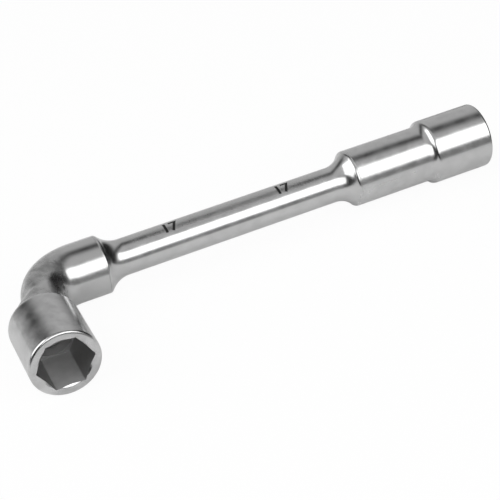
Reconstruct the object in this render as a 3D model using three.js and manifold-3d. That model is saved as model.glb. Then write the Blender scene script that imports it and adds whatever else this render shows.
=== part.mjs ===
// L-shaped socket wrench for 17 mm nuts, in millimetres with +Z up.
// It lies flat on its two socket barrels, with the shank along +X and the elbow socket opening towards -Y.
// Each piece is placed from the point where the shank's axis crosses the elbow socket's axis.
import * as THREE from "three";
import { mergeVertices, toCreasedNormals } from "three/addons/utils/BufferGeometryUtils.js";
import loadManifold from "manifold-3d";

// Hex sockets, alike at both ends
const NUT_SIZE = 17; // across the flats of the nut
const HEX_CLEARANCE = 0.1; // added to the nut's size
const HEX_DEPTH = 17.3; // from the mouth to the end of the flats
const SOCKET_WALL = 2.1; // outside the corners of the hex
const RIM_ROUND = 0.9; // radius of the mouth's outer edge
const LEAD_IN = 0.9; // how far the mouth's countersink reaches past the middle of a flat
const RELIEF_STEP = 0.55; // how far the relief bore behind the hex stands in from the flats

// Lengths along the shank's axis, from the elbow socket's axis to the straight mouth
const ELBOW_COLLAR_END = 27.2; // where the elbow's collar meets the shank
const ELBOW_COLLAR_LENGTH = 7.7; // its straight stretch, up to the bend
const SHANK_LENGTH = 96.6; // from collar to collar, necks included
const ELBOW_NECK_LENGTH = 8.3; // the flare at the shank's elbow end
const STRAIGHT_NECK_LENGTH = 7.9; // the flare at its other end
const COLLAR_LENGTH = 28.3; // of the straight socket
const STEP_LENGTH = 3.8; // from its collar up to its barrel
const BARREL_LENGTH = 21.5; // from that step to the mouth
const RELIEF_LENGTH = 4; // its relief bore, behind the hex

// Lengths along the elbow socket's axis, from the shank's axis
const ELBOW_FACE = 21.4; // where the elbow's shoulder meets the elbow socket
const ELBOW_BARREL_LENGTH = 24.6; // from that face to the mouth
const BEND_END = 12.3; // where the bend's outer side ends and the shoulder starts
const FILLET_END = 17; // where the fillet in the inner corner ends on the neck

// Diameters and the elbow's bend
const SHANK_D = 13;
const COLLAR_D = 20.8;
const BORE_D = 13; // bore through the collars: room for a stud, and the seat of the shank's spigots
const NECK_OUTER = 4; // back of the elbow's neck, from the socket's axis
const NECK_INNER = 10.4; // front of the elbow's neck, from the socket's axis
const FILLET_START = 16.5; // where the fillet in the inner corner leaves the collar, from the same axis
const SHOULDER_ROUNDING = 1.22; // 1 is a plain cone, and more rounds it off towards the socket
const SHOULDER_STEP = 1.1; // how far the elbow socket stands out round the end of the shoulder
const SEAM_ROUND = 0.7; // radius of the elbow socket's rear edge

// Joints between the pieces
const SPIGOT_LENGTH = 12; // of the shank's spigots
const PLUG_LENGTH = 3.2; // of the elbow's plug in the elbow socket
const SPIGOT_CLEARANCE = 0.15; // round a spigot or plug
const END_CLEARANCE = 0.3; // beyond the end of a spigot in a blind bore

// Shapes of the turned curves
const NECK_HOLLOW_SHARE = 0.86; // part of a neck's length that is hollow, before its rounded edge
const STEP_HOLLOW_SHARE = 0.7; // the same, for the step on the straight socket
const DRILL_POINT = THREE.MathUtils.degToRad(118);

// Facets
const SEGMENTS = 64;
const ARC_STEPS = 5;
const ROUND_STEPS = 4;
const BEND_STEPS = 18;
const SHOULDER_STEPS = 8;
const CREASE = THREE.MathUtils.degToRad(30);
const MERGE_TOLERANCE = 1e-4;
const CUT_MARGIN = 1; // how far a cutting tool reaches past an open face

const HEX_R = (NUT_SIZE + HEX_CLEARANCE) / Math.sqrt(3); // to a corner
const FLAT_R = (NUT_SIZE + HEX_CLEARANCE) / 2; // to the middle of a flat
const SOCKET_R = HEX_R + SOCKET_WALL;
const RELIEF_R = FLAT_R - RELIEF_STEP;
const LEAD_IN_R = FLAT_R + LEAD_IN;
const COLLAR_R = COLLAR_D / 2;
const SHANK_R = SHANK_D / 2;
const BORE_R = BORE_D / 2;
const SPIGOT_R = BORE_R - SPIGOT_CLEARANCE;
const PLUG_R = RELIEF_R - SPIGOT_CLEARANCE;
const BEND_X = ELBOW_COLLAR_END - ELBOW_COLLAR_LENGTH;
const SHOULDER_R = SOCKET_R - SHOULDER_STEP;
const STRAIGHT_START = ELBOW_COLLAR_END + SHANK_LENGTH;
const STRAIGHT_LENGTH = COLLAR_LENGTH + STEP_LENGTH + BARREL_LENGTH;

const manifold = await loadManifold();
manifold.setup();

// A closed three.js geometry as a manifold-3d solid.
function solidOf(geometry) {
  const bare = new THREE.BufferGeometry();
  bare.setAttribute("position", geometry.getAttribute("position"));
  bare.setIndex(geometry.index);
  const merged = mergeVertices(bare, MERGE_TOLERANCE);
  const mesh = new manifold.Mesh({
    numProp: 3,
    vertProperties: new Float32Array(merged.getAttribute("position").array),
    triVerts: new Uint32Array(merged.index.array),
  });
  return new manifold.Manifold(mesh);
}

// A manifold-3d solid as a three.js geometry with crisp edges.
function geometryOf(solid) {
  const { vertProperties, triVerts } = solid.getMesh();
  const geometry = new THREE.BufferGeometry();
  geometry.setAttribute("position", new THREE.BufferAttribute(vertProperties, 3));
  geometry.setIndex(new THREE.BufferAttribute(triVerts, 1));
  return toCreasedNormals(geometry, CREASE);
}

// A solid of revolution about +Y. Each point of the profile is a radius and a height.
function turned(profile) {
  const points = profile.map(([radius, height]) => new THREE.Vector2(radius, height));
  return new THREE.LatheGeometry(points, SEGMENTS);
}

// Two arcs that lead from one radius to another, level at both ends.
// The first arc takes share of the length, and both reach the same slope where they meet.
function ogee([radius0, height0], [radius1, height1], share) {
  const length = height1 - height0;
  const rise = radius1 - radius0;
  const slope = 2 * Math.atan(rise / length);
  const arcs = Array.from({ length: ARC_STEPS + 1 }, (_, i) => {
    const angle = (slope * i) / ARC_STEPS;
    return [(1 - Math.cos(angle)) / Math.sin(slope), Math.sin(angle) / Math.sin(slope)];
  });
  const first = arcs.map(([r, h]) => [radius0 + length * share * r, height0 + length * share * h]);
  const last = arcs.map(([r, h]) => [
    radius1 - length * (1 - share) * r,
    height1 - length * (1 - share) * h,
  ]);
  return [...first, ...last.reverse().slice(1)];
}

// The rounded edge of a socket from its barrel to its end face, as far in from each as radius.
function edgeRounding(radius) {
  return Array.from({ length: ROUND_STEPS + 1 }, (_, i) => {
    const turn = ((Math.PI / 2) * i) / ROUND_STEPS;
    return [SOCKET_R - radius * (1 - Math.cos(turn)), radius * (1 - Math.sin(turn))];
  });
}

// The mouth of a socket whose end face is at height: rounded edge, flat rim and countersink.
function mouth(height) {
  const edge = edgeRounding(RIM_ROUND).map(([radius, depth]) => [radius, height - depth]);
  return [...edge, [LEAD_IN_R, height], [RELIEF_R, height - (LEAD_IN_R - RELIEF_R)]];
}

// Cuts the hex into a turned socket along +Y, with its corners in the wrench's level plane.
function withHex(socket, height) {
  const length = HEX_DEPTH + CUT_MARGIN;
  const turn = Math.PI / 6;
  const hex = new THREE.CylinderGeometry(HEX_R, HEX_R, length, 6, 1, false, turn);
  hex.translate(0, height - HEX_DEPTH + length / 2, 0);
  return geometryOf(solidOf(socket).subtract(solidOf(hex)));
}

// The barrel in line with the shank: collar, step and hex socket round one stepped bore.
function straightSocket() {
  const stepStart = [COLLAR_R, COLLAR_LENGTH];
  const stepEnd = [SOCKET_R, COLLAR_LENGTH + STEP_LENGTH];
  const reliefEnd = STRAIGHT_LENGTH - HEX_DEPTH - RELIEF_LENGTH;
  const drillDepth = (RELIEF_R - BORE_R) / Math.tan(DRILL_POINT / 2);
  const profile = [
    [BORE_R, 0],
    [COLLAR_R, 0],
    ...ogee(stepStart, stepEnd, STEP_HOLLOW_SHARE),
    ...mouth(STRAIGHT_LENGTH),
    [RELIEF_R, reliefEnd],
    [BORE_R, reliefEnd - drillDepth],
    [BORE_R, 0],
  ];
  return withHex(turned(profile), STRAIGHT_LENGTH);
}

// The barrel at a right angle to the shank: a tube with a hex mouth, which the elbow's plug closes.
function elbowSocket() {
  const profile = [
    [RELIEF_R, 0],
    ...edgeRounding(SEAM_ROUND).reverse(),
    ...mouth(ELBOW_BARREL_LENGTH),
    [RELIEF_R, 0],
  ];
  return withHex(turned(profile), ELBOW_BARREL_LENGTH);
}

// The bar between the collars: a flared neck and a spigot at each end.
function shank() {
  const neckEnd = [SHANK_R, ELBOW_NECK_LENGTH];
  const neckStart = [SHANK_R, SHANK_LENGTH - STRAIGHT_NECK_LENGTH];
  const profile = [
    [0, -SPIGOT_LENGTH],
    [SPIGOT_R, -SPIGOT_LENGTH],
    [SPIGOT_R, 0],
    ...ogee([COLLAR_R, 0], neckEnd, 1 - NECK_HOLLOW_SHARE),
    ...ogee(neckStart, [COLLAR_R, SHANK_LENGTH], NECK_HOLLOW_SHARE),
    [SPIGOT_R, SHANK_LENGTH],
    [SPIGOT_R, SHANK_LENGTH + SPIGOT_LENGTH],
    [0, SHANK_LENGTH + SPIGOT_LENGTH],
  ];
  return turned(profile);
}

// An upright oval section between two points of the level plane.
function ovalRing([innerX, innerY], [outerX, outerY], halfHeight) {
  return Array.from({ length: SEGMENTS }, (_, i) => {
    const angle = (2 * Math.PI * i) / SEGMENTS;
    const across = (1 + Math.cos(angle)) / 2;
    const x = THREE.MathUtils.lerp(innerX, outerX, across);
    const y = THREE.MathUtils.lerp(innerY, outerY, across);
    return new THREE.Vector3(x, y, halfHeight * Math.sin(angle));
  });
}

// A closed skin over rings of points, with a flat cap on the first and the last ring.
function loft(rings) {
  const points = rings.flat();
  const middle = (ring) => ring.reduce((sum, p) => sum.add(p), new THREE.Vector3()).divideScalar(SEGMENTS);
  const firstCap = points.push(middle(rings[0])) - 1;
  const lastCap = points.push(middle(rings.at(-1))) - 1;
  const index = [];
  for (let j = 0; j < SEGMENTS; j++) {
    const next = (j + 1) % SEGMENTS;
    const lastRing = (rings.length - 1) * SEGMENTS;
    index.push(firstCap, j, next, lastCap, lastRing + next, lastRing + j);
    for (let i = 0; i < rings.length - 1; i++) {
      const here = i * SEGMENTS;
      const there = here + SEGMENTS;
      index.push(here + j, there + j, here + next, there + j, there + next, here + next);
    }
  }
  const geometry = new THREE.BufferGeometry().setFromPoints(points);
  return geometry.setIndex(index);
}

// The forged corner: a collar, a closed bend that leaves a narrower neck, and a shoulder up to the socket.
// Its sections stand between two rails. Each is a quarter ellipse and then a line along the shoulder.
function elbow() {
  const collarEnd = ovalRing([ELBOW_COLLAR_END, -COLLAR_R], [ELBOW_COLLAR_END, COLLAR_R], COLLAR_R);
  const bend = Array.from({ length: BEND_STEPS + 1 }, (_, i) => {
    const turn = ((Math.PI / 2) * i) / BEND_STEPS;
    const rail = ([startX, startY], [endX, endY]) => [
      startX + (endX - startX) * Math.sin(turn),
      endY + (startY - endY) * Math.cos(turn),
    ];
    const inner = rail([FILLET_START, -COLLAR_R], [NECK_INNER, -FILLET_END]);
    const outer = rail([BEND_X, COLLAR_R], [-NECK_OUTER, -BEND_END]);
    return ovalRing(inner, outer, COLLAR_R);
  });
  const shoulder = Array.from({ length: SHOULDER_STEPS }, (_, i) => {
    const along = (i + 1) / SHOULDER_STEPS;
    const spread = 1 - (1 - along) ** SHOULDER_ROUNDING;
    const rail = (reach, depth) => [
      THREE.MathUtils.lerp(reach, Math.sign(reach) * SHOULDER_R, spread),
      THREE.MathUtils.lerp(-depth, -ELBOW_FACE, along),
    ];
    const halfHeight = THREE.MathUtils.lerp(COLLAR_R, SHOULDER_R, spread);
    return ovalRing(rail(NECK_INNER, FILLET_END), rail(-NECK_OUTER, BEND_END), halfHeight);
  });

  const boreLength = SPIGOT_LENGTH + END_CLEARANCE + CUT_MARGIN;
  const bore = new THREE.CylinderGeometry(BORE_R, BORE_R, boreLength, SEGMENTS);
  bore.rotateZ(-Math.PI / 2);
  bore.translate(ELBOW_COLLAR_END + CUT_MARGIN - boreLength / 2, 0, 0);
  const plugLength = PLUG_LENGTH + CUT_MARGIN;
  const plug = new THREE.CylinderGeometry(PLUG_R, PLUG_R, plugLength, SEGMENTS);
  plug.translate(0, -ELBOW_FACE + CUT_MARGIN - plugLength / 2, 0);

  const body = solidOf(loft([collarEnd, ...bend, ...shoulder]));
  return geometryOf(body.subtract(solidOf(bore)).add(solidOf(plug)));
}

const machinedChrome = { color: 0xd2d4d6, roughness: 0.18, metalness: 1 };
const forgedChrome = { color: 0xb4b6b8, roughness: 0.34, metalness: 1 };

function piece(name, geometry, finish) {
  const mesh = new THREE.Mesh(geometry, new THREE.MeshStandardMaterial(finish));
  mesh.name = name;
  return mesh;
}

const straightSocketMesh = piece("straight_socket", straightSocket(), machinedChrome);
straightSocketMesh.position.x = STRAIGHT_START;
straightSocketMesh.rotation.z = -Math.PI / 2;

const shankMesh = piece("shank", shank(), machinedChrome);
shankMesh.position.x = ELBOW_COLLAR_END;
shankMesh.rotation.z = -Math.PI / 2;

const elbowMesh = piece("elbow", elbow(), forgedChrome);

const elbowSocketMesh = piece("elbow_socket", elbowSocket(), machinedChrome);
elbowSocketMesh.position.y = -ELBOW_FACE;
elbowSocketMesh.rotation.z = Math.PI;

// The part's origin is the middle of its box, on the floor that both barrels rest on.
const axes = new THREE.Group();
axes.add(straightSocketMesh, shankMesh, elbowMesh, elbowSocketMesh);
axes.position.x = -(STRAIGHT_START + STRAIGHT_LENGTH - SOCKET_R) / 2;
axes.position.y = (ELBOW_FACE + ELBOW_BARREL_LENGTH - SOCKET_R) / 2;
axes.position.z = SOCKET_R;

const wrench = new THREE.Group();
wrench.add(axes);

export default wrench;
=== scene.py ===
import math

import bpy
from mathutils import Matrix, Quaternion, Vector


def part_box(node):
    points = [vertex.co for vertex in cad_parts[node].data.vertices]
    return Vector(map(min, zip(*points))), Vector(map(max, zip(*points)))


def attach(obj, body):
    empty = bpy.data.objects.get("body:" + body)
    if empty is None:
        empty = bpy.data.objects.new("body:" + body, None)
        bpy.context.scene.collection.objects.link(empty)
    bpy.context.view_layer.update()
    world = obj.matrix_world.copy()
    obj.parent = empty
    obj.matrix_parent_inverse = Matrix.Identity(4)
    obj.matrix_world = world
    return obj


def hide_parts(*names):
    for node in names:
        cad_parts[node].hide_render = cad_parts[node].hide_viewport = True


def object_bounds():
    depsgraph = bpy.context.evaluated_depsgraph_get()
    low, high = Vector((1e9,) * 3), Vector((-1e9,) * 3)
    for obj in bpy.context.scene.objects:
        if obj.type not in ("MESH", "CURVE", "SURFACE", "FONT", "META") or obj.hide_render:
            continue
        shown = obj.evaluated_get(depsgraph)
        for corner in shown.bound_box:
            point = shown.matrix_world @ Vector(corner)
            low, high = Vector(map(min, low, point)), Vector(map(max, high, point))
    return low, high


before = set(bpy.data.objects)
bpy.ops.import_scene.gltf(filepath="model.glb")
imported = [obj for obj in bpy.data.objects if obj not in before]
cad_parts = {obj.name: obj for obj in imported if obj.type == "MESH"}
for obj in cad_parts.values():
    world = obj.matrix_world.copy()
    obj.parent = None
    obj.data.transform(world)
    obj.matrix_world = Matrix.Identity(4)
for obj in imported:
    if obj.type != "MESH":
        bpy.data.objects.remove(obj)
cad_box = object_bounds()

# The wrench is dressed over its CAD solids. Every length below is in metres, and MM turns a
# size in millimetres into one. Places are counted from the point where the shank's axis
# crosses the elbow socket's axis, which the CAD boxes give.
MM = 0.001
QUARTER_TURN = math.pi / 2

straight_low, straight_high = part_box("straight_socket")
shank_low, shank_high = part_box("shank")
elbow_low, elbow_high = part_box("elbow")
barrel_low, barrel_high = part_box("elbow_socket")

CROSSING = Vector((
    (barrel_low.x + barrel_high.x) / 2,
    (shank_low.y + shank_high.y) / 2,
    (shank_low.z + shank_high.z) / 2,
))
ALONG_SHANK = Vector((1, 0, 0))
OUT_OF_ELBOW = Vector((0, -1, 0))
UP = Vector((0, 0, 1))

# Lengths along the shank, from the crossing
ELBOW_FACE_X = elbow_high.x - CROSSING.x  # where the elbow's collar meets the shank
STRAIGHT_FACE_X = straight_low.x - CROSSING.x  # where the shank meets the straight socket
STRAIGHT_MOUTH_X = straight_high.x - CROSSING.x
SPIGOT_START_X = shank_low.x - CROSSING.x
SPIGOT_END_X = shank_high.x - CROSSING.x
BEND_START_X = ELBOW_FACE_X - 7.7 * MM
BORE_END_X = SPIGOT_START_X - 0.3 * MM  # the elbow's blind bore goes a little past the spigot
ELBOW_NECK_LENGTH = 8.3 * MM
STRAIGHT_NECK_LENGTH = 7.9 * MM
STEP_START_X = STRAIGHT_FACE_X + 28.3 * MM
STEP_END_X = STEP_START_X + 3.8 * MM
NECK_HOLLOW_SHARE = 0.86  # part of a neck's length that is hollow, before its rounded edge
STEP_HOLLOW_SHARE = 0.7  # the same, for the step on the straight socket

# Lengths out of the elbow, from the crossing
SEAM_Y = CROSSING.y - barrel_high.y  # where the elbow's shoulder meets the elbow socket
ELBOW_MOUTH_Y = CROSSING.y - barrel_low.y
PLUG_END_Y = CROSSING.y - elbow_low.y

# Radii
SOCKET_R = (barrel_high.x - barrel_low.x) / 2
COLLAR_R = (shank_high.y - shank_low.y) / 2
SHANK_R = 6.5 * MM
BORE_R = 6.5 * MM
RELIEF_R = 8 * MM
BORE_PAINT_R = RELIEF_R + 0.01 * MM  # just outside the widest bore, to find the faces of bores
CLEARANCE = 0.15 * MM  # round a spigot or the plug

# Hex mouths
HEX_SIDES = 6
HEX_TURN = math.pi / HEX_SIDES  # brings two corners into the level plane
HEX_FLAT_R = 8.55 * MM
HEX_CORNER_R = HEX_FLAT_R / math.cos(HEX_TURN)
HEX_CORNER_ROUND = 0.35 * MM
HEX_DEPTH = 17.3 * MM
RELIEF_LENGTH = 4 * MM
DRILL_POINT = math.radians(118)
RIM_ROUND = 0.9 * MM  # radius of the mouth's outer edge
LEAD_IN_R = HEX_FLAT_R + 0.9 * MM
LEAD_IN_START = math.radians(20)  # how steep the rounded lead-in is at the rim
LEAD_IN_END = math.radians(70)  # and at the bore
SEAM_ROUND = 0.6 * MM  # how far the elbow socket's rear edge is rounded off
SEAM_ROUND_LENGTH = 1.6 * MM

# The elbow's bend
NECK_BACK = 4 * MM  # from the elbow socket's axis to the back of the neck
NECK_FRONT = 10.4 * MM  # from the same axis to its front
BEND_END_Y = 12.3 * MM  # where the bend's outer side ends and the shoulder starts
INNER_START_X = 16.5 * MM  # where the fillet in the inner corner leaves the collar
INNER_END_Y = 17 * MM  # and where it ends on the neck's front
SHOULDER_ROUNDING = 1.22  # how rounded the shoulder is: 1 is a straight cone
SHOULDER_R = SOCKET_R - 1.1 * MM  # where the shoulder ends, inside the socket's rounded edge

# Size stamps on the shank
STAMP_TEXT = "17"
STAMP_PLACES = (53.4 * MM, 96.6 * MM)
STAMP_TURN = math.radians(12)  # from the top of the shank towards the elbow socket's side
STAMP_HEIGHT = 4.3 * MM
STAMP_DEPTH = 0.55 * MM  # in the middle, so that the number's ends reach into the round bar
STAMP_BOLD = 0.18 * MM
STAMP_REACH = SHANK_R / 2  # how far the stamp goes up and down from its own middle
FIGURE_SHARE = 0.7  # how much of the font's size a figure is high

# Edges and facets
SOCKET_EDGE = 0.15 * MM  # how far the sharp edges left on the straight socket are rounded
FINE_EDGE = 0.12 * MM  # and those on the other pieces
EDGE_STEPS = 3
HEX_CORNER_STEPS = 4
RING_SEGMENTS = 128
ARC_STEPS = 14
BEND_STEPS = 36
SHOULDER_STEPS = 16
RIM_STEPS = 8
MERGE_DISTANCE = 0.001 * MM
CUT_MARGIN = 2 * MM
SMOOTH_ANGLE = math.radians(32)
ALIGNED = 0.99  # cosine past which an edge counts as running along an axis

# Grain of the finishes
PATCH_SIZE = 4 * MM  # patches in the plate, and waves in the forged skin
NICK_SIZE = 0.7 * MM
GRAIN_SIZE = 0.9 * MM
STAIN_SIZE = 3 * MM
SPECK_SIZE = 0.5 * MM
LINE_GAP = 0.8 * MM  # about 0.2 mm on the real wrench, and drawn coarser here so that the lines show
LINE_LENGTH = 30 * MM
LINES_ALONG_X = (1 / LINE_GAP, 1 / LINE_LENGTH, 1 / LINE_LENGTH)
LINES_ALONG_Y = (1 / LINE_LENGTH, 1 / LINE_GAP, 1 / LINE_LENGTH)
NOISE_LOW, NOISE_HIGH = 0.3, 0.7  # most of a noise's values lie between these
MOTTLE_LOW, MOTTLE_HIGH = 0.35, 0.65  # a narrower stretch of them, for stronger patches
WEAR_START, WEAR_FULL = 0.51, 0.56  # how pointed an edge is where it begins to wear, and wears most
FORGED_TO_X = CROSSING.x + 8 * MM  # the elbow is as forged up to here
TURNED_FROM_X = CROSSING.x + 17 * MM  # and its collar is turned from here


def linear(hex_code):
    """The linear colour of an sRGB hex value such as "c8c8c8"."""
    channels = [int(hex_code[i:i + 2], 16) / 255 for i in (0, 2, 4)]
    return tuple(c / 12.92 if c <= 0.04045 else ((c + 0.055) / 1.055) ** 2.4 for c in channels) + (1,)


def add_node(tree, kind, inputs=None, **settings):
    """Adds a shader node. A value in inputs is set on that socket, and another node's socket is
    linked to it."""
    node = tree.nodes.new("ShaderNode" + kind)
    for name, value in settings.items():
        setattr(node, name, value)
    for name, value in (inputs or {}).items():
        if isinstance(value, bpy.types.NodeSocket):
            tree.links.new(value, node.inputs[name])
        else:
            node.inputs[name].default_value = value
    return node


def new_material(name):
    """An empty material and its node tree."""
    material = bpy.data.materials.new(name)
    material.use_nodes = True
    material.node_tree.nodes.clear()
    return material, material.node_tree


def turned_chrome(name, line_scale, dull, wave):
    """Chrome plate on turned and polished steel: a soft mirror, blurred and dulled a little in patches,
    with faint rings round the piece where the lathe tool went, and edges lightly scuffed by use.
    Dull is the colour of the dullest patches, and wave is how far the skin wavers."""
    material, tree = new_material(name)
    place = add_node(tree, "TexCoord").outputs["Object"]
    patches = add_node(tree, "TexNoise", {"Vector": place, "Scale": 1 / PATCH_SIZE, "Detail": 6})
    stretched = add_node(tree, "Mapping", {"Vector": place, "Scale": line_scale})
    lines = add_node(tree, "TexNoise", {"Vector": stretched.outputs["Vector"], "Scale": 1, "Detail": 2})
    mottle = add_node(
        tree, "MapRange",
        {"Value": patches.outputs["Fac"], "From Min": MOTTLE_LOW, "From Max": MOTTLE_HIGH},
    )
    colour = add_node(
        tree, "MixRGB",
        {"Fac": mottle.outputs["Result"], "Color1": linear(dull), "Color2": linear("cacaca")},
    )
    blur = add_node(
        tree, "MapRange",
        {
            "Value": patches.outputs["Fac"],
            "From Min": NOISE_LOW,
            "From Max": NOISE_HIGH,
            "To Min": 0.18,
            "To Max": 0.25,
        },
    )
    edges = add_node(tree, "NewGeometry").outputs["Pointiness"]
    nicks = add_node(tree, "TexNoise", {"Vector": place, "Scale": 1 / NICK_SIZE, "Detail": 3})
    scuffs = add_node(
        tree, "MapRange",
        {
            "Value": edges,
            "From Min": WEAR_START,
            "From Max": WEAR_FULL,
            "To Min": 0,
            "To Max": nicks.outputs["Fac"],
        },
    )
    roughness = add_node(
        tree, "Math",
        {0: scuffs.outputs["Result"], 1: 0.2, 2: blur.outputs["Result"]},
        operation="MULTIPLY_ADD",
    )
    scuffed = add_node(
        tree, "Bump",
        {"Height": nicks.outputs["Fac"], "Strength": scuffs.outputs["Result"], "Distance": 0.15 * MM},
    )
    waves = add_node(
        tree, "Bump",
        {
            "Height": patches.outputs["Fac"],
            "Strength": wave,
            "Distance": 0.3 * MM,
            "Normal": scuffed.outputs["Normal"],
        },
    )
    bump = add_node(
        tree, "Bump",
        {
            "Height": lines.outputs["Fac"],
            "Strength": 0.06,
            "Distance": 0.05 * MM,
            "Normal": waves.outputs["Normal"],
        },
    )
    shader = add_node(
        tree, "BsdfPrincipled",
        {
            "Base Color": colour.outputs["Color"],
            "Metallic": 1,
            "Roughness": roughness.outputs["Value"],
            "Normal": bump.outputs["Normal"],
        },
    )
    add_node(tree, "OutputMaterial", {"Surface": shader.outputs["BSDF"]})
    return material


def forged_chrome():
    """Chrome plate on a forged and rumbled surface: the hammered skin still waves under the plate,
    so reflections wander and break into soft patches. The collar is turned, and stays smooth."""
    material, tree = new_material("forged_chrome_plate")
    place = add_node(tree, "TexCoord").outputs["Object"]
    along = add_node(tree, "SeparateXYZ", {"Vector": place})
    forging = add_node(
        tree, "MapRange",
        {
            "Value": along.outputs["X"],
            "From Min": FORGED_TO_X,
            "From Max": TURNED_FROM_X,
            "To Min": 1,
            "To Max": 0.04,
        },
        interpolation_type="SMOOTHSTEP",
    )
    waves = add_node(tree, "TexNoise", {"Vector": place, "Scale": 1 / PATCH_SIZE, "Detail": 4})
    grain = add_node(tree, "TexNoise", {"Vector": place, "Scale": 1 / GRAIN_SIZE, "Detail": 3})
    mottle = add_node(
        tree, "MapRange",
        {"Value": waves.outputs["Fac"], "From Min": MOTTLE_LOW, "From Max": MOTTLE_HIGH},
    )
    skin = add_node(
        tree, "MixRGB",
        {"Fac": mottle.outputs["Result"], "Color1": linear("989898"), "Color2": linear("c0c0c0")},
    )
    colour = add_node(
        tree, "MixRGB",
        {"Fac": forging.outputs["Result"], "Color1": linear("c4c4c4"), "Color2": skin.outputs["Color"]},
    )
    polish = add_node(
        tree, "MapRange",
        {"Value": forging.outputs["Result"], "To Min": 0.18, "To Max": 0.24},
    )
    rough_patches = add_node(
        tree, "MapRange",
        {
            "Value": waves.outputs["Fac"],
            "From Min": NOISE_LOW,
            "From Max": NOISE_HIGH,
            "To Min": 0,
            "To Max": 0.07,
        },
    )
    roughness = add_node(
        tree, "Math",
        {0: polish.outputs["Result"], 1: rough_patches.outputs["Result"]},
        operation="ADD",
    )
    forged = add_node(
        tree, "Bump",
        {"Height": waves.outputs["Fac"], "Strength": forging.outputs["Result"], "Distance": 0.3 * MM},
    )
    bump = add_node(
        tree, "Bump",
        {
            "Height": grain.outputs["Fac"],
            "Strength": 0.15,
            "Distance": 0.08 * MM,
            "Normal": forged.outputs["Normal"],
        },
    )
    shader = add_node(
        tree, "BsdfPrincipled",
        {
            "Base Color": colour.outputs["Color"],
            "Metallic": 1,
            "Roughness": roughness.outputs["Value"],
            "Normal": bump.outputs["Normal"],
        },
    )
    add_node(tree, "OutputMaterial", {"Surface": shader.outputs["BSDF"]})
    return material


def broached_steel():
    """Broached and bored steel that the plating hardly reached: darker and duller than the outside,
    with stains, and a pale film of dried oil on the faces that look up."""
    material, tree = new_material("broached_steel")
    place = add_node(tree, "TexCoord").outputs["Object"]
    stains = add_node(tree, "TexNoise", {"Vector": place, "Scale": 1 / STAIN_SIZE, "Detail": 4})
    facing = add_node(tree, "SeparateXYZ", {"Vector": add_node(tree, "NewGeometry").outputs["Normal"]})
    metallic = add_node(
        tree, "MapRange",
        {"Value": facing.outputs["Z"], "From Min": 0.8, "From Max": 1, "To Min": 1, "To Max": 0.35},
    )
    colour = add_node(
        tree, "MixRGB",
        {"Fac": stains.outputs["Fac"], "Color1": linear("a0a0a0"), "Color2": linear("bebebe")},
    )
    roughness = add_node(
        tree, "MapRange",
        {
            "Value": stains.outputs["Fac"],
            "From Min": NOISE_LOW,
            "From Max": NOISE_HIGH,
            "To Min": 0.42,
            "To Max": 0.54,
        },
    )
    bump = add_node(
        tree, "Bump",
        {"Height": stains.outputs["Fac"], "Strength": 0.2, "Distance": 0.1 * MM},
    )
    shader = add_node(
        tree, "BsdfPrincipled",
        {
            "Base Color": colour.outputs["Color"],
            "Metallic": metallic.outputs["Result"],
            "Roughness": roughness.outputs["Result"],
            "Normal": bump.outputs["Normal"],
        },
    )
    add_node(tree, "OutputMaterial", {"Surface": shader.outputs["BSDF"]})
    return material


def stamping_paint():
    """Black enamel wiped into the stamped numbers: dull, a little worn to grey in specks."""
    material, tree = new_material("black_stamping_enamel")
    place = add_node(tree, "TexCoord").outputs["Object"]
    specks = add_node(tree, "TexNoise", {"Vector": place, "Scale": 1 / SPECK_SIZE, "Detail": 3})
    colour = add_node(
        tree, "MixRGB",
        {"Fac": specks.outputs["Fac"], "Color1": linear("101010"), "Color2": linear("2a2a2a")},
    )
    shader = add_node(
        tree, "BsdfPrincipled",
        {"Base Color": colour.outputs["Color"], "Roughness": 0.6},
    )
    add_node(tree, "OutputMaterial", {"Surface": shader.outputs["BSDF"]})
    return material


def spaced(start, end, steps):
    """Evenly spaced values from start to end, with both of them."""
    return [start + (end - start) * i / steps for i in range(steps + 1)]


def ogee(start, end, share):
    """Stations of two arcs from one radius to another, level at both ends, where the first arc takes
    share of the length. A station is a distance along the axis and a radius."""
    length, rise = end[0] - start[0], end[1] - start[1]
    slope = 2 * math.atan(rise / length)
    angles = spaced(0, slope, ARC_STEPS)
    arc = [(math.sin(a) / math.sin(slope), (1 - math.cos(a)) / math.sin(slope)) for a in angles]
    first = [(start[0] + length * share * x, start[1] + length * share * r) for x, r in arc]
    rest = length * (1 - share)
    last = [(end[0] - rest * x, end[1] - rest * r) for x, r in reversed(arc)]
    return first + last[1:]


def mouth(end):
    """Stations round a socket's mouth: rounded edge, flat rim and the rounded lead-in to the bore."""
    edge = [
        (end - RIM_ROUND * (1 - math.sin(t)), SOCKET_R - RIM_ROUND * (1 - math.cos(t)))
        for t in spaced(0, QUARTER_TURN, RIM_STEPS)
    ]
    curve = (LEAD_IN_R - RELIEF_R) / (math.sin(LEAD_IN_END) - math.sin(LEAD_IN_START))
    rim_x, rim_r = math.cos(LEAD_IN_START), math.sin(LEAD_IN_START)
    lead_in = [
        (end - curve * (rim_x - math.cos(t)), LEAD_IN_R - curve * (math.sin(t) - rim_r))
        for t in spaced(LEAD_IN_START, LEAD_IN_END, RIM_STEPS)
    ]
    return edge + lead_in


def add_ring(name, axis, along, radius, fill):
    """Starts a piece as a circle round an axis through the crossing, and opens it in edit mode."""
    bpy.ops.object.select_all(action="DESELECT")
    bpy.ops.mesh.primitive_circle_add(
        vertices=RING_SEGMENTS,
        radius=radius,
        fill_type=fill,
        location=CROSSING + axis * along,
        rotation=axis.to_track_quat("Z", "Y").to_euler(),
    )
    piece = bpy.context.object
    piece.name = name
    bpy.ops.object.transform_apply(location=True, rotation=True, scale=True)
    bpy.ops.object.mode_set(mode="EDIT")
    return piece


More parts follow.
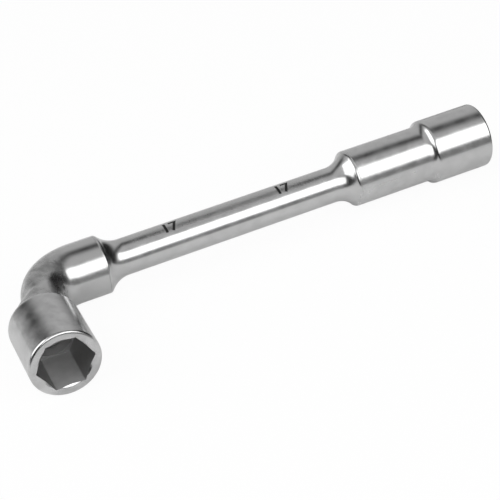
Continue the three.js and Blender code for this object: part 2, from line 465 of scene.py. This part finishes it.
def close_skin():
    """Joins rings that meet, turns the faces outwards and leaves edit mode."""
    bpy.ops.mesh.select_all(action="SELECT")
    bpy.ops.mesh.remove_doubles(threshold=MERGE_DISTANCE)
    bpy.ops.mesh.normals_make_consistent(inside=False)
    bpy.ops.object.mode_set(mode="OBJECT")


def turn_on_lathe(name, axis, stations, fill):
    """Extrudes a circle from station to station along its axis, as a turned piece changes diameter."""
    piece = add_ring(name, axis, *stations[0], fill)
    for (from_along, from_radius), (along, radius) in zip(stations, stations[1:]):
        bpy.ops.mesh.extrude_region_move(TRANSFORM_OT_translate={"value": axis * (along - from_along)})
        bpy.ops.transform.resize(value=(radius / from_radius,) * 3, center_override=CROSSING + axis * along)
    close_skin()
    return piece


def apply_modifier(piece, name, kind, **settings):
    """Adds a modifier with its settings to a piece, and applies it."""
    bpy.context.view_layer.objects.active = piece
    modifier = piece.modifiers.new(name, kind)
    for setting, value in settings.items():
        setattr(modifier, setting, value)
    bpy.ops.object.modifier_apply(modifier=modifier.name)


def round_edges(piece, width):
    """Rounds the sharp edges a little, so that they catch the light as plated edges do."""
    apply_modifier(
        piece, "plated_edges", "BEVEL",
        limit_method="ANGLE",
        angle_limit=SMOOTH_ANGLE,
        width=width,
        segments=EDGE_STEPS,
    )


def cut(piece, cutter):
    """Cuts one mesh out of another and throws the cutter away. The cut faces take its material."""
    apply_modifier(
        piece, "cut", "BOOLEAN",
        operation="DIFFERENCE",
        solver="EXACT",
        material_mode="TRANSFER",
        object=cutter,
    )
    bpy.data.objects.remove(cutter)


def select_edges_along(piece, axis):
    """Selects, in edit mode, the edges that run along an axis."""
    bpy.ops.object.mode_set(mode="EDIT")
    bpy.ops.mesh.select_mode(type="EDGE")
    bpy.ops.mesh.select_all(action="DESELECT")
    bpy.ops.object.mode_set(mode="OBJECT")
    for edge in piece.data.edges:
        start, end = (piece.data.vertices[i].co for i in edge.vertices)
        edge.select = abs((end - start).normalized().dot(axis)) > ALIGNED
    bpy.ops.object.mode_set(mode="EDIT")


def cut_hex(piece, axis, end, steel):
    """Broaches the hex into a mouth, with its corners slightly round, and clears away slivers."""
    turn = axis.to_track_quat("Z", "Y") @ Quaternion((0, 0, 1), HEX_TURN)
    bpy.ops.object.select_all(action="DESELECT")
    bpy.ops.mesh.primitive_cylinder_add(
        vertices=HEX_SIDES,
        radius=HEX_CORNER_R,
        depth=HEX_DEPTH + CUT_MARGIN,
        location=CROSSING + axis * (end + (CUT_MARGIN - HEX_DEPTH) / 2),
        rotation=turn.to_euler(),
    )
    broach = bpy.context.object
    broach.data.materials.append(steel)
    bpy.ops.object.transform_apply(location=True, rotation=True, scale=True)
    select_edges_along(broach, axis)
    bpy.ops.mesh.bevel(offset=HEX_CORNER_ROUND, segments=HEX_CORNER_STEPS)
    bpy.ops.object.mode_set(mode="OBJECT")
    cut(piece, broach)
    bpy.ops.object.mode_set(mode="EDIT")
    bpy.ops.mesh.select_all(action="SELECT")
    bpy.ops.mesh.dissolve_degenerate(threshold=MERGE_DISTANCE)
    bpy.ops.object.mode_set(mode="OBJECT")


def paint_bore(piece, axis):
    """Gives the second material to the faces of a bore: those that look at the axis from near it."""
    for face in piece.data.polygons:
        out = face.center - CROSSING
        out -= axis * out.dot(axis)
        if out.length < BORE_PAINT_R and face.normal.dot(out) < 0:
            face.material_index = 1


def finish_piece(piece, node):
    """Shades a piece, and puts it in the place of its CAD node."""
    bpy.ops.object.select_all(action="DESELECT")
    piece.select_set(True)
    bpy.context.view_layer.objects.active = piece
    bpy.ops.object.shade_smooth_by_angle(angle=SMOOTH_ANGLE)
    apply_modifier(piece, "flat_faces_stay_flat", "WEIGHTED_NORMAL", keep_sharp=True)
    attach(piece, "root")
    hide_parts(node)


def turn_socket(name, axis, stations, end, edge, chrome, steel):
    """Turns a socket's barrel, bares the steel of its bore and broaches the hex into its mouth."""
    piece = turn_on_lathe(name, axis, stations, "NOTHING")
    piece.data.materials.append(chrome)
    piece.data.materials.append(steel)
    round_edges(piece, edge)
    paint_bore(piece, axis)
    cut_hex(piece, axis, end, steel)
    return piece


def build_straight_socket(chrome, steel):
    """The barrel in line with the shank: collar, step and hex mouth round one stepped bore."""
    relief_end = STRAIGHT_MOUTH_X - HEX_DEPTH - RELIEF_LENGTH
    drill_depth = (RELIEF_R - BORE_R) / math.tan(DRILL_POINT / 2)
    stations = [
        (STRAIGHT_FACE_X, BORE_R),
        (STRAIGHT_FACE_X, COLLAR_R),
        *ogee((STEP_START_X, COLLAR_R), (STEP_END_X, SOCKET_R), STEP_HOLLOW_SHARE),
        *mouth(STRAIGHT_MOUTH_X),
        (relief_end, RELIEF_R),
        (relief_end - drill_depth, BORE_R),
        (STRAIGHT_FACE_X, BORE_R),
    ]
    piece = turn_socket(
        "straight_socket_barrel", ALONG_SHANK, stations, STRAIGHT_MOUTH_X, SOCKET_EDGE, chrome, steel
    )
    finish_piece(piece, "straight_socket")


def build_elbow_socket(chrome, steel):
    """The barrel at a right angle to the shank: a tube with a hex mouth and a rounded rear edge."""
    rear_edge = [
        (SEAM_Y + SEAM_ROUND_LENGTH * (1 - math.cos(t)), SOCKET_R - SEAM_ROUND * (1 - math.sin(t)))
        for t in spaced(0, QUARTER_TURN, RIM_STEPS)
    ]
    stations = [
        (SEAM_Y, RELIEF_R),
        *rear_edge,
        *mouth(ELBOW_MOUTH_Y),
        (SEAM_Y, RELIEF_R),
    ]
    piece = turn_socket(
        "elbow_socket_barrel", OUT_OF_ELBOW, stations, ELBOW_MOUTH_Y, FINE_EDGE, chrome, steel
    )
    finish_piece(piece, "elbow_socket")


def cut_stamp(piece, along, paint):
    """Stamps the nut size into the shank near its top, to read along it."""
    bpy.ops.object.select_all(action="DESELECT")
    bpy.ops.object.text_add(location=(0, 0, 0))
    text = bpy.context.object
    text.data.body = STAMP_TEXT
    text.data.align_x = "CENTER"
    text.data.align_y = "CENTER"
    text.data.size = STAMP_HEIGHT / FIGURE_SHARE
    text.data.offset = STAMP_BOLD
    text.data.extrude = STAMP_REACH
    bpy.ops.object.convert(target="MESH")
    stamp = bpy.context.object
    upright = UP * math.cos(STAMP_TURN) + OUT_OF_ELBOW * math.sin(STAMP_TURN)
    stamp.location = CROSSING + ALONG_SHANK * along + upright * (SHANK_R - STAMP_DEPTH + STAMP_REACH)
    stamp.rotation_euler.x = STAMP_TURN
    bpy.ops.object.transform_apply(location=True, rotation=True, scale=True)
    stamp.data.materials.append(paint)
    bpy.ops.object.mode_set(mode="EDIT")
    close_skin()
    cut(piece, stamp)


def build_shank(chrome, paint):
    """The bar between the collars: a flared neck and a spigot at each end, and two size stamps."""
    spigot_r = BORE_R - CLEARANCE
    elbow_neck_end = (ELBOW_FACE_X + ELBOW_NECK_LENGTH, SHANK_R)
    straight_neck_start = (STRAIGHT_FACE_X - STRAIGHT_NECK_LENGTH, SHANK_R)
    stations = [
        (SPIGOT_START_X, spigot_r),
        (ELBOW_FACE_X, spigot_r),
        *ogee((ELBOW_FACE_X, COLLAR_R), elbow_neck_end, 1 - NECK_HOLLOW_SHARE),
        *ogee(straight_neck_start, (STRAIGHT_FACE_X, COLLAR_R), NECK_HOLLOW_SHARE),
        (STRAIGHT_FACE_X, spigot_r),
        (SPIGOT_END_X, spigot_r),
    ]
    piece = turn_on_lathe("shank_bar", ALONG_SHANK, stations, "NGON")
    piece.data.materials.append(chrome)
    round_edges(piece, FINE_EDGE)
    for along in STAMP_PLACES:
        cut_stamp(piece, along, paint)
    finish_piece(piece, "shank")


def elbow_sections():
    """The elbow's sections from the end of its blind bore to the end of its plug. Each is an upright oval:
    its middle in the level plane, its turn from across the shank, its half width and its half height."""
    def round_section(along, out, turn, radius):
        return Vector((along, -out, 0)), turn, radius, radius

    def section_between(inner, outer, half_height):
        across = outer - inner
        return (inner + outer) / 2, math.atan2(-across.x, across.y), across.length / 2, half_height

    def rail_point(start_x, end_x, start_y, end_out, way):
        return Vector((
            start_x - (start_x - end_x) * math.sin(way),
            -end_out + (start_y + end_out) * math.cos(way),
            0,
        ))

    sections = [
        round_section(BORE_END_X, 0, 0, BORE_R),
        round_section(ELBOW_FACE_X, 0, 0, BORE_R),
        round_section(ELBOW_FACE_X, 0, 0, COLLAR_R),
    ]
    for way in spaced(0, QUARTER_TURN, BEND_STEPS):
        inner = rail_point(INNER_START_X, NECK_FRONT, -COLLAR_R, INNER_END_Y, way)
        outer = rail_point(BEND_START_X, -NECK_BACK, COLLAR_R, BEND_END_Y, way)
        sections.append(section_between(inner, outer, COLLAR_R))
    for way in spaced(0, 1, SHOULDER_STEPS)[1:]:
        spread = 1 - (1 - way) ** SHOULDER_ROUNDING
        inner = Vector((
            NECK_FRONT + (SHOULDER_R - NECK_FRONT) * spread,
            -INNER_END_Y - (SEAM_Y - INNER_END_Y) * way,
            0,
        ))
        outer = Vector((
            -NECK_BACK - (SHOULDER_R - NECK_BACK) * spread,
            -BEND_END_Y - (SEAM_Y - BEND_END_Y) * way,
            0,
        ))
        sections.append(section_between(inner, outer, COLLAR_R + (SHOULDER_R - COLLAR_R) * spread))
    sections.append(round_section(0, SEAM_Y, QUARTER_TURN, RELIEF_R - CLEARANCE))
    sections.append(round_section(0, PLUG_END_Y, QUARTER_TURN, RELIEF_R - CLEARANCE))
    return sections


def build_elbow(chrome):
    """The forged corner: collar, closed bend with a narrower neck, and the shoulder behind the socket."""
    sections = elbow_sections()
    piece = add_ring("elbow_forging", ALONG_SHANK, sections[0][0].x, sections[0][2], "NGON")
    for (middle0, turn0, width0, height0), (middle, turn, width, height) in zip(sections, sections[1:]):
        centre = CROSSING + middle
        bpy.ops.mesh.extrude_region_move(TRANSFORM_OT_translate={"value": middle - middle0})
        if turn != turn0:
            bpy.ops.transform.rotate(value=turn0 - turn, orient_axis="Z", center_override=centre)
        spread = width / width0
        bpy.ops.transform.resize(value=(spread, spread, height / height0), center_override=centre)
    close_skin()
    piece.data.materials.append(chrome)
    round_edges(piece, FINE_EDGE)
    finish_piece(piece, "elbow")


# Camera, fitted to the photograph
CAMERA_PLACE = Vector((-134.712, -360.475, 266.234)) * MM
CAMERA_AIM = Vector((-8.459, -4.378, 11.970)) * MM
CAMERA_ROLL = math.radians(-8.334)
CAMERA_LENS = 96.21  # millimetres, on a sensor 36 mm wide

# Table, and the floor just below it that carries the white on
TABLE_REACH = 1.5  # from the middle to its left and back edges
TABLE_FRONT = 84 * MM  # from the crossing to its front edge, which is near and shows dark in the metal
TABLE_RIGHT = 40 * MM  # from the straight mouth to its right edge
TABLE_LOW = Vector((-TABLE_REACH, CROSSING.y - TABLE_FRONT, 0))
TABLE_HIGH = Vector((cad_box[1].x + TABLE_RIGHT, TABLE_REACH, 0))
FLOOR_REACH = 3
FLOOR_DROP = 0.02 * MM
FLOOR_LOW = Vector((-FLOOR_REACH, -FLOOR_REACH, -FLOOR_DROP))
FLOOR_HIGH = Vector((FLOOR_REACH, FLOOR_REACH, -FLOOR_DROP))
WHITE_TO_CAMERA = 0.95  # how much of the laminate is plain white to the camera
WHITE_IN_METAL = 0.05  # and in the metal's reflections

# Softboxes: azimuth and elevation in degrees, width and height in metres, and power in watts
SOFTBOXES = {
    "front_softbox": (-15, 35.8, 1.5, 0.74, 7.5),
    "left_softbox": (95, 38, 1.1, 0.9, 7),
}

# Light tent. Its directions are about 1 long, and its limits are how far a ray points along them.
TENT_LIGHT = 0.77
SEAM_LIGHT = 0.05
FRONT_LIGHT = 0.33  # the tent's front, and all below the level of the table
ROOM_LIGHT = 0.02
SEAM_NORMAL = Vector((0.64, 0.756, -0.137))
SEAM_OFFSET = 0.297
SEAM_NEAR, SEAM_FAR = 0.02, 0.28  # where the seam's shade starts to fade, and is gone
SEAM_FULL_HEIGHT = 0.45  # how high up the seam is at its darkest
FRONT_DIM, FRONT_END = -0.7, -0.25  # where the front is dimmest, and where it ends
LEVEL_NORMAL = (0, 0.1, 1)
LEVEL_LOW, LEVEL_HIGH = -0.02, 0.04
ROOM_OPENINGS = (  # the way out, where its dark starts, and where it is full
    ((0.97, 0.22, 0), 0.66, 0.86),
    ((-0.9, -0.43, 0), 0.5, 0.72),
)


def set_camera():
    """A camera where the photograph was taken from, a little rolled."""
    data = bpy.data.cameras.new("photo_camera")
    data.lens = CAMERA_LENS
    camera = bpy.data.objects.new("photo_camera", data)
    bpy.context.scene.collection.objects.link(camera)
    camera.location = CAMERA_PLACE
    camera.rotation_mode = "QUATERNION"
    look = (CAMERA_AIM - CAMERA_PLACE).to_track_quat("-Z", "Y")
    camera.rotation_quaternion = look @ Quaternion((0, 0, 1), CAMERA_ROLL)
    bpy.context.scene.camera = camera


def white_table():
    """Matt white laminate, which photographs white but keeps the wrench's soft shadow."""
    material, tree = new_material("matt_white_laminate")
    rays = add_node(tree, "LightPath")
    seen = add_node(
        tree, "Math",
        {0: rays.outputs["Is Glossy Ray"], 1: rays.outputs["Is Transmission Ray"]},
        operation="MAXIMUM",
    )
    in_metal = add_node(tree, "Math", {0: seen.outputs["Value"], 1: WHITE_IN_METAL}, operation="MULTIPLY")
    share = add_node(
        tree, "Math",
        {0: rays.outputs["Is Camera Ray"], 1: WHITE_TO_CAMERA, 2: in_metal.outputs["Value"]},
        operation="MULTIPLY_ADD",
    )
    matt = add_node(tree, "BsdfDiffuse", {"Color": linear("f0f0f0")})
    white = add_node(tree, "Emission", {"Color": linear("ffffff"), "Strength": 1})
    surface = add_node(
        tree, "MixShader",
        {0: share.outputs["Value"], 1: matt.outputs["BSDF"], 2: white.outputs["Emission"]},
    )
    add_node(tree, "OutputMaterial", {"Surface": surface.outputs["Shader"]})
    return material


def lay_table():
    """A white table under the wrench, and a floor of the same finish that the metal doesn't reflect."""
    white = white_table()
    for name, low, high in (("table", TABLE_LOW, TABLE_HIGH), ("floor", FLOOR_LOW, FLOOR_HIGH)):
        bpy.ops.object.select_all(action="DESELECT")
        bpy.ops.mesh.primitive_plane_add(size=1, location=(low + high) / 2)
        top = bpy.context.object
        top.name = name
        top.scale = (high.x - low.x, high.y - low.y, 1)
        bpy.ops.object.transform_apply(location=True, rotation=True, scale=True)
        top.data.materials.append(white)
        top.visible_glossy = name == "table"


def hang_softbox(name, azimuth, elevation, width, height, power):
    """A softbox that faces the wrench from one metre. Azimuth is counted from -Y towards -X."""
    light = bpy.data.lights.new(name, "AREA")
    light.shape = "RECTANGLE"
    light.size, light.size_y = width, height
    light.energy = power
    softbox = bpy.data.objects.new(name, light)
    bpy.context.scene.collection.objects.link(softbox)
    around, above = math.radians(azimuth), math.radians(elevation)
    level = math.cos(above)
    towards = Vector((-math.sin(around) * level, -math.cos(around) * level, math.sin(above)))
    softbox.location = CROSSING + towards
    softbox.rotation_mode = "QUATERNION"
    softbox.rotation_quaternion = (-towards).to_track_quat("-Z", "Y")
    softbox.visible_camera = False


def hang_tent():
    """A pale light tent round the table, with a darker seam over the wrench. It is dim in front and
    below the level of the table, and open to a dark room on the right and at the front left."""
    world = bpy.data.worlds.new("light_tent")
    bpy.context.scene.world = world
    world.use_nodes = True
    tree = world.node_tree
    tree.nodes.clear()
    way = add_node(tree, "TexCoord").outputs["Generated"]
    beside = add_node(tree, "VectorMath", {0: way, 1: SEAM_NORMAL}, operation="DOT_PRODUCT")
    past_seam = add_node(tree, "Math", {0: beside.outputs["Value"], 1: SEAM_OFFSET}, operation="SUBTRACT")
    from_seam = add_node(tree, "Math", {0: past_seam.outputs["Value"]}, operation="ABSOLUTE")
    heading = add_node(tree, "SeparateXYZ", {"Vector": way})
    seam = add_node(
        tree, "MapRange",
        {
            "Value": heading.outputs["Z"],
            "From Min": 0,
            "From Max": SEAM_FULL_HEIGHT,
            "To Min": TENT_LIGHT,
            "To Max": SEAM_LIGHT,
        },
    )
    cloth = add_node(
        tree, "MapRange",
        {
            "Value": from_seam.outputs["Value"],
            "From Min": SEAM_NEAR,
            "From Max": SEAM_FAR,
            "To Min": seam.outputs["Result"],
            "To Max": TENT_LIGHT,
        },
        interpolation_type="SMOOTHSTEP",
    )
    behind_front = add_node(
        tree, "MapRange",
        {
            "Value": heading.outputs["Y"],
            "From Min": FRONT_DIM,
            "From Max": FRONT_END,
            "To Min": FRONT_LIGHT,
            "To Max": cloth.outputs["Result"],
        },
        interpolation_type="SMOOTHSTEP",
    )
    level = add_node(tree, "VectorMath", {0: way, 1: LEVEL_NORMAL}, operation="DOT_PRODUCT")
    light = add_node(
        tree, "MapRange",
        {
            "Value": level.outputs["Value"],
            "From Min": LEVEL_LOW,
            "From Max": LEVEL_HIGH,
            "To Min": FRONT_LIGHT,
            "To Max": behind_front.outputs["Result"],
        },
        interpolation_type="SMOOTHSTEP",
    )
    for opening, dark_start, dark_full in ROOM_OPENINGS:
        towards = add_node(tree, "VectorMath", {0: way, 1: opening}, operation="DOT_PRODUCT")
        light = add_node(
            tree, "MapRange",
            {
                "Value": towards.outputs["Value"],
                "From Min": dark_start,
                "From Max": dark_full,
                "To Min": light.outputs["Result"],
                "To Max": ROOM_LIGHT,
            },
            interpolation_type="SMOOTHSTEP",
        )
    tent = add_node(tree, "Background", {"Strength": light.outputs["Result"]})
    add_node(tree, "OutputWorld", {"Surface": tent.outputs["Background"]})


shank_chrome = turned_chrome("turned_chrome_plate", LINES_ALONG_X, "c0c0c0", 0.02)
barrel_chrome = turned_chrome("turned_chrome_plate_elbow", LINES_ALONG_Y, "b8b8b8", 0.07)
bore_steel = broached_steel()

build_straight_socket(shank_chrome, bore_steel)
build_shank(shank_chrome, stamping_paint())
build_elbow(forged_chrome())
build_elbow_socket(barrel_chrome, bore_steel)

set_camera()
lay_table()
for softbox_name, softbox_settings in SOFTBOXES.items():
    hang_softbox(softbox_name, *softbox_settings)
hang_tent()
bpy.context.scene.view_settings.view_transform = "Standard"
